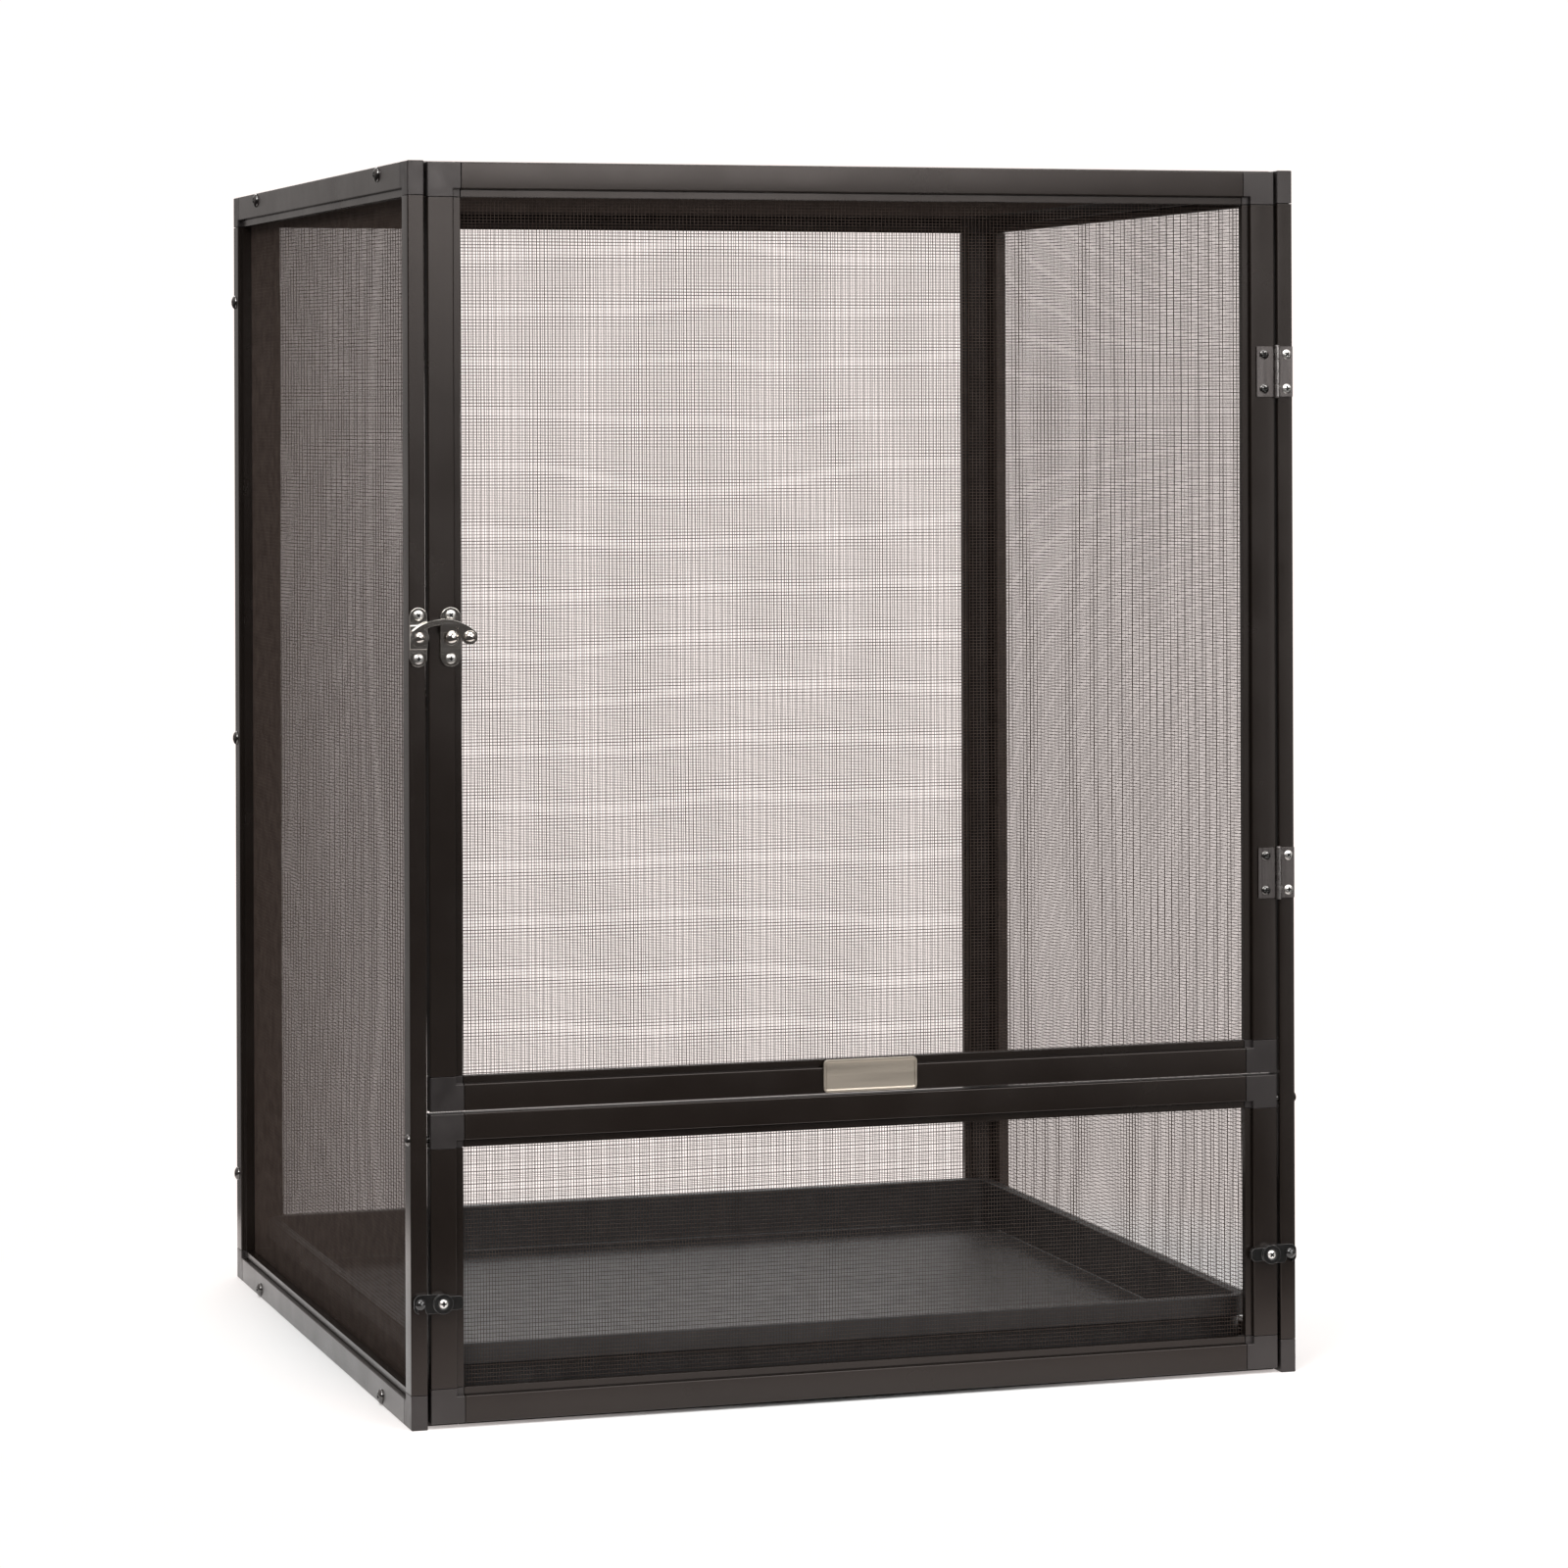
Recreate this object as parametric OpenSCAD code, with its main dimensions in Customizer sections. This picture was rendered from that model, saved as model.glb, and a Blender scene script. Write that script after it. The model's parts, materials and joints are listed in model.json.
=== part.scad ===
// Screen cage on framed panels: a hinged front door with a swing latch, a low flap held by two
// turn clips, and a tray that is drawn out under the raised flap.
// Millimetres, +Z up. The origin is at the middle of the base and the door faces -Y.

/* [Cabinet] */
// Overall width across the side panels
cabinet_w = 450; // [380:5:600]
// Overall depth from the door's face to the back panel's face
cabinet_d = 450; // [380:5:600]
// Overall height
cabinet_h = 600; // [480:5:900]
// Gap between panels that are screwed together
panel_gap = 0.2; // [0.1:0.1:0.5]

/* [Frame tube] */
// Depth of the tube from its outer face to its inner face
frame_t = 8; // [7.5:0.1:10]
// Width of the flat band of the tube
band_w = 12.7; // [12:0.1:16]
// Wall of the rolled tube
tube_wall = 0.9; // [0.6:0.1:1.2]
// Radius of the tube's long edges
edge_r = 0.6; // [0.3:0.1:0.8]
// Width of the seam between the band and the lip
seam_w = 0.4; // [0.3:0.1:1]
// Depth of the seam below the lip's face
seam_d = 0.5; // [0.3:0.1:1.4]
// Thickness of the lip that carries the spline
lip_t = 2; // [1.6:0.1:2.4]
// Thickness of the leg that closes the spline channel
leg_t = 0.9; // [0.6:0.1:1.2]

/* [Corner keys] */
// Length of each leg that plugs into a tube
key_leg_l = 22; // [12:1:30]
// Clearance of the leg inside the tube, each side
key_clear = 0.2; // [0.1:0.05:0.4]
// Joint between the key and the end of the tube
key_gap = 0.3; // [0.05:0.05:0.4]

/* [Screen] */
// Distance between strands, far wider than the fine wires of the cloth
strand_pitch = 42; // [38:1:80]
// Width of a strand
strand_w = 0.6; // [0.4:0.1:1]
// Thickness of each of the two layers of strands
strand_t = 0.5; // [0.3:0.05:0.5]
// How far the screen lies below the tube's inner face
screen_set = 0.1; // [0.1:0.1:0.5]
// Gap between the screen's edge and the tube
screen_gap = 0.3; // [0.2:0.1:0.6]
// Diameter of the spline cord
spline_d = 2.5; // [2:0.1:2.8]
// Clearance of the spline in its channel, each side
spline_clear = 0.1; // [0.05:0.05:0.2]

/* [Door and flap] */
// Gap between the door or flap and each post
side_gap = 1.6; // [1:0.1:3]
// Gap between the door and the edges of the top and bottom panels behind it
front_gap = 1; // [0.5:0.1:2]
// How far the door's top lies below the cabinet's top
door_top_gap = 0.7; // [0.3:0.1:2]
// Height of the door's lower edge above the base
door_z = 150; // [130:1:190]
// Gap between the flap and the door above it
flap_gap = 1.1; // [0.9:0.1:4]
// Height of the flap's lower edge above the base
flap_z = 2.5; // [1.5:0.1:4]
// Distance of the flap's pivot below its top edge
pivot_drop = 12.1; // [9:0.1:12.5]

/* [Assembly screws] */
// Diameter of the screw heads on the side panels
screw_head_d = 5.7; // [5:0.1:7]
// Height of those heads
screw_head_h = 2; // [1.4:0.1:2.6]
// Diameter of the screw shanks
screw_d = 3.4; // [2.8:0.1:3.6]
// Clearance of a shank in its hole, all round
screw_clear = 0.1; // [0.05:0.05:0.2]
// Reach of a screw into the panel behind the side panel
screw_reach = 8; // [5:0.5:10]
// Distance of the front screws from the front of the side panel
screw_front = 68; // [50:1:90]
// Distance of the rear screws in the rails from the back of the side panel
screw_rear = 68; // [60:1:120]
// Distance of the outer screws in the rear stile from the ends of the side panel
screw_end = 58; // [45:1:90]
// Reach of a pivot screw into the flap
pivot_reach = 9; // [6:0.5:10]
// Running clearance of the pivots and pins, all round
pivot_clear = 0.05; // [0.02:0.01:0.1]

/* [Hinges] */
// Height of each butt hinge
hinge_h = 25; // [20:1:32]
// Distance between the centres of the two hinges
hinge_spacing = 250; // [180:5:300]
// Thickness of the hinge leaves
leaf_t = 0.9; // [0.7:0.1:1.2]
// Width of the door leaf from the pin
door_leaf_w = 10.6; // [9.5:0.1:12]
// Width of the post leaf from the pin
post_leaf_w = 8.6; // [8:0.1:8.7]
// Outer diameter of the knuckles
knuckle_d = 3; // [2.6:0.1:3.2]
// Clearance between a knuckle and what lies beside it
knuckle_gap = 0.2; // [0.1:0.05:0.3]
// Diameter of the hinge pin
pin_d = 1.4; // [1:0.1:1.6]
// Height of the pin's rounded ends
pin_end_h = 0.7; // [0.5:0.1:1]
// Distance of a leaf's screws from its ends
leaf_screw_end = 3.9; // [3.2:0.1:5]
// Distance of the door leaf's screws from the pin
door_leaf_screw_x = 6.7; // [5.5:0.1:7.5]
// Distance of the post leaf's screws from the pin
post_leaf_screw_x = 5.4; // [5:0.1:5.8]
// Diameter of the small screw heads on hinges and latch
small_head_d = 5; // [4:0.1:5.4]
// Height of the small screw heads
small_head_h = 1.1; // [0.8:0.1:1.2]
// Diameter of the small screw shanks
small_screw_d = 2.2; // [1.8:0.1:2.4]
// Length of the small screws below the face they are screwed into
small_screw_l = 5; // [3:0.5:6]

/* [Latch] */
// Distance of the latch's pivot from the outer face of the side panel
latch_pivot_x = 4.4; // [4.2:0.1:4.6]
// Width of the base plate
base_w = 8.4; // [7:0.1:8.6]
// Height of the base plate and of the catch plate
base_h = 28; // [26:0.5:34]
// Thickness of the base plate
base_t = 1.2; // [0.8:0.1:1.4]
// Height of the raised middle of the base plate
bridge_h = 11.3; // [9:0.1:12]
// Thickness of that raised middle
bridge_t = 2.4; // [2.2:0.1:2.8]
// Distance of either plate's screws from its ends
latch_screw_end = 3.7; // [3.2:0.1:4.4]
// Width of the catch plate
catch_w = 10; // [8:0.1:11]
// Thickness of the catch plate
catch_t = 1.3; // [0.9:0.1:1.4]
// Distance from the pivot to the stud
stud_reach = 15.6; // [14.5:0.1:16]
// Diameter of the stud's neck
stud_neck_d = 4; // [3:0.1:4.4]
// Diameter of the stud's head
stud_head_d = 6.2; // [5.5:0.1:7]
// Height of the stud's head
stud_head_h = 1.6; // [1.2:0.1:2]
// Diameter of the flange at the stud's foot
stud_flange_d = 8; // [6.6:0.1:9]
// Height of that flange
stud_flange_h = 0.8; // [0.4:0.1:1]
// Thickness of the swing arm
arm_t = 1.6; // [1.2:0.1:2]
// Clearance in front of and behind the arm
arm_gap = 0.3; // [0.2:0.05:0.5]
// Radius of the eye round the pivot
eye_r = 4.5; // [4:0.1:5]
// Outer radius of the arm's bow
bow_r = 23; // [20:0.1:26]
// Width of the bow
bow_w = 2.6; // [2:0.1:3.4]
// Angle on the bow where its inner edge turns down to the knob
wedge_angle = 75; // [70:1:80]
// Reach of the tongue from the stud towards the pivot
tongue_reach = 5.6; // [4.6:0.1:6.6]
// Distance from the pivot to the knob
knob_reach = 24.2; // [22:0.1:27]
// Radius of the arm's round end below the knob
arm_end_r = 3.7; // [3.2:0.1:4.2]
// Radius of the knob
knob_r = 3; // [2.6:0.1:3.4]
// Diameter of the knob's tail in the arm
knob_tail_d = 2.6; // [2:0.1:3]
// Diameter of the rivets through the arm
rivet_d = 3; // [2.4:0.1:3.4]
// Diameter of the pivot rivet's head
rivet_head_d = 5; // [4.4:0.1:6]
// Height of the pivot rivet's head
rivet_head_h = 1.3; // [1:0.1:1.8]

/* [Turn clips] */
// Height of the clips' pivots above the base
clip_z = 60; // [45:1:90]
// Distance of the clips' pivots from the flap's outer edges
clip_edge = 5; // [4.8:0.1:6.4]
// Thickness of the wings
clip_t = 3; // [2.4:0.1:3.6]
// Running gap behind the clip
clip_gap = 0.2; // [0.1:0.05:0.4]
// Height of the wing that reaches over the post
wing_h = 9; // [8:0.1:10]
// Reach of that wing past the keeper's axis
wing_over = 3.2; // [3:0.1:3.6]
// Height of the finger wing
finger_h = 6.4; // [5:0.1:8]
// Reach of the finger wing from the pivot
finger_reach = 10; // [8:0.1:12]
// Radius of a wing's far corners as a share of its height
wing_round_share = 0.33; // [0.2:0.01:0.45]
// Diameter of the boss round the screw
boss_d = 9.3; // [8.5:0.1:10]
// Height of the boss above the wing
boss_h = 1.8; // [1.2:0.1:2.4]
// Depth of the screw head's seat in the boss
boss_seat = 0.8; // [0.5:0.1:1.2]
// Diameter of the clip screw's shank
clip_screw_d = 2.8; // [2.4:0.1:3.2]
// Diameter of the clip screw's head
clip_head_d = 4.8; // [4.2:0.1:5.6]
// Height of the clip screw's head
clip_head_h = 1.5; // [1.1:0.1:1.8]
// Diameter of the keeper's neck
keeper_neck_d = 3; // [2.4:0.1:3.4]
// Diameter of the keeper's head
keeper_head_d = 5.6; // [5:0.1:6]
// Height of the keeper's head
keeper_head_h = 1.8; // [1.2:0.1:2.4]
// Clearance of the keeper's neck in the clip's slot, all round
slot_clear = 0.3; // [0.2:0.05:0.5]

/* [Tray] */
// Height of the tray
tray_h = 27; // [20:1:60]
// Thickness of the tray's floor and walls
tray_wall = 2; // [1.2:0.1:3]
// Gap between the tray and the panels at its sides and back
tray_gap = 5; // [2:0.5:12]
// Gap between the tray's front and the flap's inner face
tray_front_gap = 17; // [15:0.5:30]
// Gap between the tray and the bottom panel's frame
tray_lift = 0.2; // [0.1:0.1:0.5]
// Width of the rim that is turned outwards
rim_w = 4; // [3:0.5:8]
// Height of the rim's turned-down skirt
skirt_h = 10.5; // [6:0.5:14]
// Radius of the tray's corners at the rim
tray_r = 12; // [8:0.5:20]

/* [Hidden] */
$fn = 64;
// Overrun of cuts past the faces they open
overrun = 1;

// Frame section: the screen lies just below the inner face, the spline below it, the lip below that
channel_w = spline_d + 2 * spline_clear;
frame_w = band_w + channel_w + leg_t;
leg_top = frame_t - screen_set - 2 * strand_t;
lip_set = leg_top - spline_d - lip_t;
screen_edge = band_w + screen_gap;
key_inset = tube_wall + key_clear;
tube_start = frame_w + key_gap;

// Panels between the side panels, and the two that fill the front
inner_w = cabinet_w - 2 * (frame_t + panel_gap);
floor_front = -cabinet_d / 2 + frame_t + front_gap;
floor_rear = cabinet_d / 2 - frame_t - panel_gap;
floor_d = floor_rear - floor_front;
front_w = cabinet_w - 2 * (frame_t + side_gap);
door_h = cabinet_h - door_top_gap - door_z;
flap_h = door_z - flap_gap - flap_z;
front_y = -cabinet_d / 2;

// Screws through the side panels: distance from the front, height
assembly_points = [
    for (z = [frame_t / 2, cabinet_h - frame_t / 2], y = [screw_front, cabinet_d - screw_rear]) [y, z],
    for (z = [screw_end, cabinet_h / 2, cabinet_h - screw_end]) [cabinet_d - frame_t / 2, z]
];
assembly_l = frame_t + panel_gap + screw_reach;
pivot_points = [[frame_t / 2, flap_z + flap_h - pivot_drop]];
pivot_l = frame_t + side_gap + pivot_reach;

// Hinges: the pin stands in front of the gap between door and post
hinge_x = cabinet_w / 2 - frame_t - side_gap / 2;
pin_set = knuckle_d / 2 + knuckle_gap / 2;
hinge_zs = [for (s = [-1, 1]) door_z + door_h / 2 + s * hinge_spacing / 2];
knuckles = 4;
knuckle_l = hinge_h / knuckles;
leaf_screw_spacing = hinge_h - 2 * leaf_screw_end;

// Latch: heights above the front face, and the bow's centre below the line from pivot to knob
latch_x = -cabinet_w / 2 + latch_pivot_x;
latch_z = door_z + door_h / 2;
latch_screw_spacing = base_h - 2 * latch_screw_end;
arm_z = bridge_t + arm_gap;
arm_top = arm_z + arm_t;
stud_neck_top = arm_top + arm_gap;
eye_span = bow_r - eye_r;
knob_span = bow_r - arm_end_r;
bow_mid = bow_r - bow_w / 2;
bow_x = (eye_span ^ 2 - knob_span ^ 2 + knob_reach ^ 2) / (2 * knob_reach);
bow_y = -sqrt(eye_span ^ 2 - bow_x ^ 2);
eye_angle = atan2(-bow_y, -bow_x);
knob_angle = atan2(-bow_y, knob_reach - bow_x);
wedge_end_angle = 215;
wedge = [
    [bow_x + bow_mid * cos(wedge_angle), bow_y + bow_mid * sin(wedge_angle)],
    [knob_reach + arm_end_r * cos(wedge_end_angle), arm_end_r * sin(wedge_end_angle)],
    [knob_reach, 0],
    [bow_x + bow_mid * cos(knob_angle), bow_y + bow_mid * sin(knob_angle)]
];
tongue_z = stud_neck_d / 2 + arm_gap;

// Turn clips: the pivot is on the flap's band, the keeper at the middle of the post
clip_x = front_w / 2 - clip_edge;
keeper_reach = cabinet_w / 2 - frame_t / 2 - clip_x;
slot_r = keeper_neck_d / 2 + slot_clear;
slot_end = asin(slot_r / keeper_reach);
slot_sweep = 60;
clip_top = clip_gap + clip_t;
boss_top = clip_top + boss_h;

// Tray
tray_w = cabinet_w - 2 * (frame_t + tray_gap);
tray_front = front_y + frame_t + tray_front_gap;
tray_d = cabinet_d / 2 - frame_t - tray_gap - tray_front;
tray_z = frame_t + tray_lift;

frame_colour = [0.13, 0.12, 0.11];
key_colour = [0.15, 0.14, 0.14];
screen_colour = [0.2, 0.19, 0.18];
rubber_colour = [0.06, 0.06, 0.06];
hinge_colour = [0.3, 0.28, 0.27];
black_screw_colour = [0.12, 0.12, 0.12];
silver_colour = [0.78, 0.78, 0.76];
nickel_colour = [0.82, 0.81, 0.79];
plastic_colour = [0.08, 0.08, 0.08];

// Repeats its children mirrored at the far side of a size along an axis
module at_both_ends(size, axis) {
    children();
    translate(axis * size) mirror(axis) children();
}

// Rectangle with round corners, from the origin
module round_rect(size, r) {
    translate([r, 0]) square([size.x - 2 * r, size.y]);
    translate([0, r]) square([size.x, size.y - 2 * r]);
    for (x = [r, size.x - r], y = [r, size.y - r]) translate([x, y]) circle(r);
}

// Upright plate outline with round ends, centred
module stadium(size) {
    square([size.x, size.y - size.x], center = true);
    for (s = [-1, 1]) translate([0, s * (size.y - size.x) / 2]) circle(d = size.x);
}

// Half outline of a low dome on the ground line, to be revolved
module dome_outline(d, h) {
    dome_r = ((d / 2) ^ 2 + h ^ 2) / (2 * h);
    intersection() {
        square([d / 2, h]);
        translate([0, h - dome_r]) circle(dome_r);
    }
}

// Screw or stud from its seat: domed head above, shank below
module domed_screw(head_d, head_h, shank_d, shank_l) {
    rotate_extrude() {
        dome_outline(head_d, head_h);
        translate([0, -shank_l]) square([shank_d / 2, shank_l]);
    }
}

// Section of the frame: X from the panel's edge inwards, Y from the outer face inwards
module frame_profile() {
    difference() {
        union() {
            round_rect([band_w, frame_t], edge_r);
            translate([band_w - tube_wall, lip_set + seam_d])
                square([tube_wall + channel_w + leg_t, lip_t - seam_d]);
            translate([band_w + seam_w, lip_set]) square([frame_w - band_w - seam_w, lip_t]);
            translate([frame_w - leg_t, lip_set]) square([leg_t, leg_top - lip_set]);
        }
        translate([tube_wall, tube_wall]) square([band_w - 2 * tube_wall, frame_t - 2 * tube_wall]);
    }
}

// Sweeps a section along +X, its own X turned to Y and its Y to Z
module along_x(length) {
    rotate([90, 0, 90]) linear_extrude(length) children();
}

// Swaps X and Y, for what runs up the stiles
module upright() {
    mirror([1, -1, 0]) children();
}

// Tube along one edge of a panel, between its two corner keys
module tube(edge_l) {
    translate([tube_start, 0, 0]) along_x(edge_l - 2 * tube_start) frame_profile();
}

module panel_rails(w, h) {
    at_both_ends(h, [0, 1, 0]) tube(w);
}

module panel_stiles(w, h) {
    at_both_ends(w, [1, 0, 0]) upright() tube(h);
}

// One arm of the corner key with the leg that plugs into its tube
module key_arm() {
    intersection() {
        along_x(frame_w) round_rect([band_w, frame_t], edge_r);
        upright() along_x(frame_w) round_rect([2 * frame_w, frame_t], edge_r);
    }
    translate([frame_w - tube_wall, key_inset, key_inset])
        cube([tube_wall + key_leg_l, band_w - 2 * key_inset, frame_t - 2 * key_inset]);
}

module corner_key() {
    key_arm();
    upright() key_arm();
    translate([band_w - tube_wall, band_w - tube_wall, lip_set])
        cube([frame_w - band_w + tube_wall, frame_w - band_w + tube_wall, leg_top - lip_set]);
}

module panel_corners(w, h) {
    at_both_ends(w, [1, 0, 0]) at_both_ends(h, [0, 1, 0]) corner_key();
}

module panel_screen(w, h) {
    span = [w - 2 * frame_w, h - 2 * frame_w];
    counts = [floor(span.x / strand_pitch), floor(span.y / strand_pitch)];
    for (i = [1:counts.x])
        translate([frame_w + i * span.x / (counts.x + 1) - strand_w / 2, screen_edge, leg_top])
            cube([strand_w, h - 2 * screen_edge, strand_t]);
    for (i = [1:counts.y])
        translate([screen_edge, frame_w + i * span.y / (counts.y + 1) - strand_w / 2, leg_top + strand_t])
            cube([w - 2 * screen_edge, strand_w, strand_t]);
}

module spline_cord(length) {
    translate([frame_w, band_w + channel_w / 2, lip_set + lip_t + spline_d / 2])
        rotate([0, 90, 0]) cylinder(d = spline_d, h = length - 2 * frame_w);
}

module panel_spline(w, h) {
    at_both_ends(h, [0, 1, 0]) spline_cord(w);
    at_both_ends(w, [1, 0, 0]) upright() spline_cord(h);
}

// Places of the panels: each lies in X and Y with its outer face down before it is set up
module at_left() {
    translate([-cabinet_w / 2, -cabinet_d / 2, 0]) rotate([90, 0, 90]) children();
}

module at_right() {
    mirror([1, 0, 0]) at_left() children();
}

module at_back() {
    translate([-inner_w / 2, cabinet_d / 2, 0]) rotate([90, 0, 0]) children();
}

module at_top() {
    translate([-inner_w / 2, floor_rear, cabinet_h]) rotate([180, 0, 0]) children();
}

module at_bottom() {
    translate([-inner_w / 2, floor_front, 0]) children();
}

module at_door() {
    translate([front_w / 2, front_y, door_z]) rotate([90, 0, 180]) children();
}

module at_flap() {
    translate([front_w / 2, front_y, flap_z]) rotate([90, 0, 180]) children();
}

// Points on both side panels, with +Z pointing out of the cabinet
module on_sides(points) {
    for (side = [-1, 1], p = points)
        translate([side * cabinet_w / 2, p.x + front_y, p.y]) rotate([0, side * 90, 0]) children();
}

// Points on the front face, with +X across, +Y up and +Z towards the viewer
module on_front(x, z) {
    translate([x, front_y, z]) rotate([90, 0, 0]) children();
}

module hole(d, depth) {
    translate([0, 0, -depth]) cylinder(d = d, h = depth + overrun);
}

module assembly_holes() {
    on_sides(assembly_points) hole(screw_d + 2 * screw_clear, assembly_l + overrun);
}

module pivot_holes() {
    on_sides(pivot_points) hole(screw_d + 2 * pivot_clear, pivot_l + overrun);
}

// Two places above and below a point, for the screws of a leaf or plate
module at_screw_pair(spacing) {
    for (s = [-1, 1]) translate([0, s * spacing / 2, 0]) children();
}

module at_door_leaf_screws() {
    for (z = hinge_zs) on_front(hinge_x - door_leaf_screw_x, z) at_screw_pair(leaf_screw_spacing) children();
}

module at_post_leaf_screws() {
    for (z = hinge_zs) on_front(hinge_x + post_leaf_screw_x, z) at_screw_pair(leaf_screw_spacing) children();
}

module at_base_screws() {
    on_front(latch_x, latch_z) at_screw_pair(latch_screw_spacing) children();
}

module at_catch_screws() {
    on_front(latch_x + stud_reach, latch_z) at_screw_pair(latch_screw_spacing) children();
}

module small_holes() {
    hole(small_screw_d + 2 * screw_clear, small_screw_l + overrun);
}

module small_screw(seat) {
    translate([0, 0, seat]) domed_screw(small_head_d, small_head_h, small_screw_d, seat + small_screw_l);
}

// Hinge leaf in its own place, reaching to one side of the pin and owning every other knuckle
module hinge_leaf(dir, width, first, screw_x) {
    difference() {
        union() {
            translate([min(0, dir * width), pin_set - leaf_t, -hinge_h / 2]) cube([width, leaf_t, hinge_h]);
            for (i = [first:2:knuckles - 1])
                translate([0, 0, i * knuckle_l - hinge_h / 2]) cylinder(d = knuckle_d, h = knuckle_l);
        }
        for (i = [1 - first:2:knuckles - 1])
            translate([0, 0, i * knuckle_l - hinge_h / 2 - knuckle_gap])
                cylinder(d = knuckle_d + 2 * knuckle_gap, h = knuckle_l + 2 * knuckle_gap);
        translate([0, 0, -hinge_h / 2 - overrun])
            cylinder(d = pin_d + 2 * pivot_clear, h = hinge_h + 2 * overrun);
        for (s = [-1, 1])
            translate([dir * screw_x, pin_set + overrun, s * leaf_screw_spacing / 2])
                rotate([90, 0, 0])
                    cylinder(d = small_screw_d + 2 * screw_clear, h = leaf_t + 2 * overrun);
    }
}

module at_hinges() {
    for (z = hinge_zs) translate([hinge_x, front_y - pin_set, z]) children();
}

module left_panel_rails() {
    color(frame_colour) difference() {
        at_left() panel_rails(cabinet_d, cabinet_h);
        assembly_holes();
    }
}

module left_panel_stiles() {
    color(frame_colour) difference() {
        at_left() panel_stiles(cabinet_d, cabinet_h);
        assembly_holes();
        pivot_holes();
        at_base_screws() small_holes();
        keeper_holes();
    }
}

module left_panel_corners() {
    color(key_colour) at_left() panel_corners(cabinet_d, cabinet_h);
}

module left_panel_screen() {
    color(screen_colour) at_left() panel_screen(cabinet_d, cabinet_h);
}

module left_panel_spline() {
    color(rubber_colour) at_left() panel_spline(cabinet_d, cabinet_h);
}

module right_panel_rails() {
    color(frame_colour) difference() {
        at_right() panel_rails(cabinet_d, cabinet_h);
        assembly_holes();
    }
}

module right_panel_stiles() {
    color(frame_colour) difference() {
        at_right() panel_stiles(cabinet_d, cabinet_h);
        assembly_holes();
        pivot_holes();
        at_post_leaf_screws() small_holes();
        keeper_holes();
    }
}

module right_panel_corners() {
    color(key_colour) at_right() panel_corners(cabinet_d, cabinet_h);
}

module right_panel_screen() {
    color(screen_colour) at_right() panel_screen(cabinet_d, cabinet_h);
}

module right_panel_spline() {
    color(rubber_colour) at_right() panel_spline(cabinet_d, cabinet_h);
}

module back_panel_rails() {
    color(frame_colour) at_back() panel_rails(inner_w, cabinet_h);
}

module back_panel_stiles() {
    color(frame_colour) difference() {
        at_back() panel_stiles(inner_w, cabinet_h);
        assembly_holes();
    }
}

module back_panel_corners() {
    color(key_colour) at_back() panel_corners(inner_w, cabinet_h);
}

module back_panel_screen() {
    color(screen_colour) at_back() panel_screen(inner_w, cabinet_h);
}

module back_panel_spline() {
    color(rubber_colour) at_back() panel_spline(inner_w, cabinet_h);
}

module top_panel_rails() {
    color(frame_colour) at_top() panel_rails(inner_w, floor_d);
}

module top_panel_stiles() {
    color(frame_colour) difference() {
        at_top() panel_stiles(inner_w, floor_d);
        assembly_holes();
    }
}

module top_panel_corners() {
    color(key_colour) at_top() panel_corners(inner_w, floor_d);
}

module top_panel_screen() {
    color(screen_colour) at_top() panel_screen(inner_w, floor_d);
}

module top_panel_spline() {
    color(rubber_colour) at_top() panel_spline(inner_w, floor_d);
}

module bottom_panel_rails() {
    color(frame_colour) at_bottom() panel_rails(inner_w, floor_d);
}

module bottom_panel_stiles() {
    color(frame_colour) difference() {
        at_bottom() panel_stiles(inner_w, floor_d);
        assembly_holes();
    }
}

module bottom_panel_corners() {
    color(key_colour) at_bottom() panel_corners(inner_w, floor_d);
}

module bottom_panel_screen() {
    color(screen_colour) at_bottom() panel_screen(inner_w, floor_d);
}

module bottom_panel_spline() {
    color(rubber_colour) at_bottom() panel_spline(inner_w, floor_d);
}

module door_rails() {
    color(frame_colour) at_door() panel_rails(front_w, door_h);
}

module door_stiles() {
    color(frame_colour) difference() {
        at_door() panel_stiles(front_w, door_h);
        at_door_leaf_screws() small_holes();
        at_catch_screws() small_holes();
    }
}

module door_corners() {
    color(key_colour) at_door() panel_corners(front_w, door_h);
}

module door_screen() {
    color(screen_colour) at_door() panel_screen(front_w, door_h);
}

module door_spline() {
    color(rubber_colour) at_door() panel_spline(front_w, door_h);
}

module flap_rails() {
    color(frame_colour) at_flap() panel_rails(front_w, flap_h);
}

module flap_stiles() {
    color(frame_colour) difference() {
        at_flap() panel_stiles(front_w, flap_h);
        at_clips() hole(clip_screw_d + 2 * screw_clear, small_screw_l + overrun);
    }
}

module flap_corners() {
    color(key_colour) difference() {
        at_flap() panel_corners(front_w, flap_h);
        pivot_holes();
    }
}

module flap_screen() {
    color(screen_colour) at_flap() panel_screen(front_w, flap_h);
}

module flap_spline() {
    color(rubber_colour) at_flap() panel_spline(front_w, flap_h);
}

module assembly_screws() {
    color(black_screw_colour) on_sides(assembly_points)
        domed_screw(screw_head_d, screw_head_h, screw_d, assembly_l);
}

module flap_pivot_screws() {
    color(black_screw_colour) on_sides(pivot_points)
        domed_screw(screw_head_d, screw_head_h, screw_d, pivot_l);
}

module hinge_post_leaves() {
    color(hinge_colour) at_hinges() hinge_leaf(1, post_leaf_w, 1, post_leaf_screw_x);
}

module hinge_door_leaves() {
    color(hinge_colour) at_hinges() hinge_leaf(-1, door_leaf_w, 0, door_leaf_screw_x);
}

module hinge_pins() {
    color(hinge_colour) at_hinges() {
        translate([0, 0, -hinge_h / 2 - knuckle_gap]) cylinder(d = pin_d, h = hinge_h + 2 * knuckle_gap);
        at_both_pin_ends() rotate_extrude() dome_outline(knuckle_d, pin_end_h);
    }
}

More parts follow.
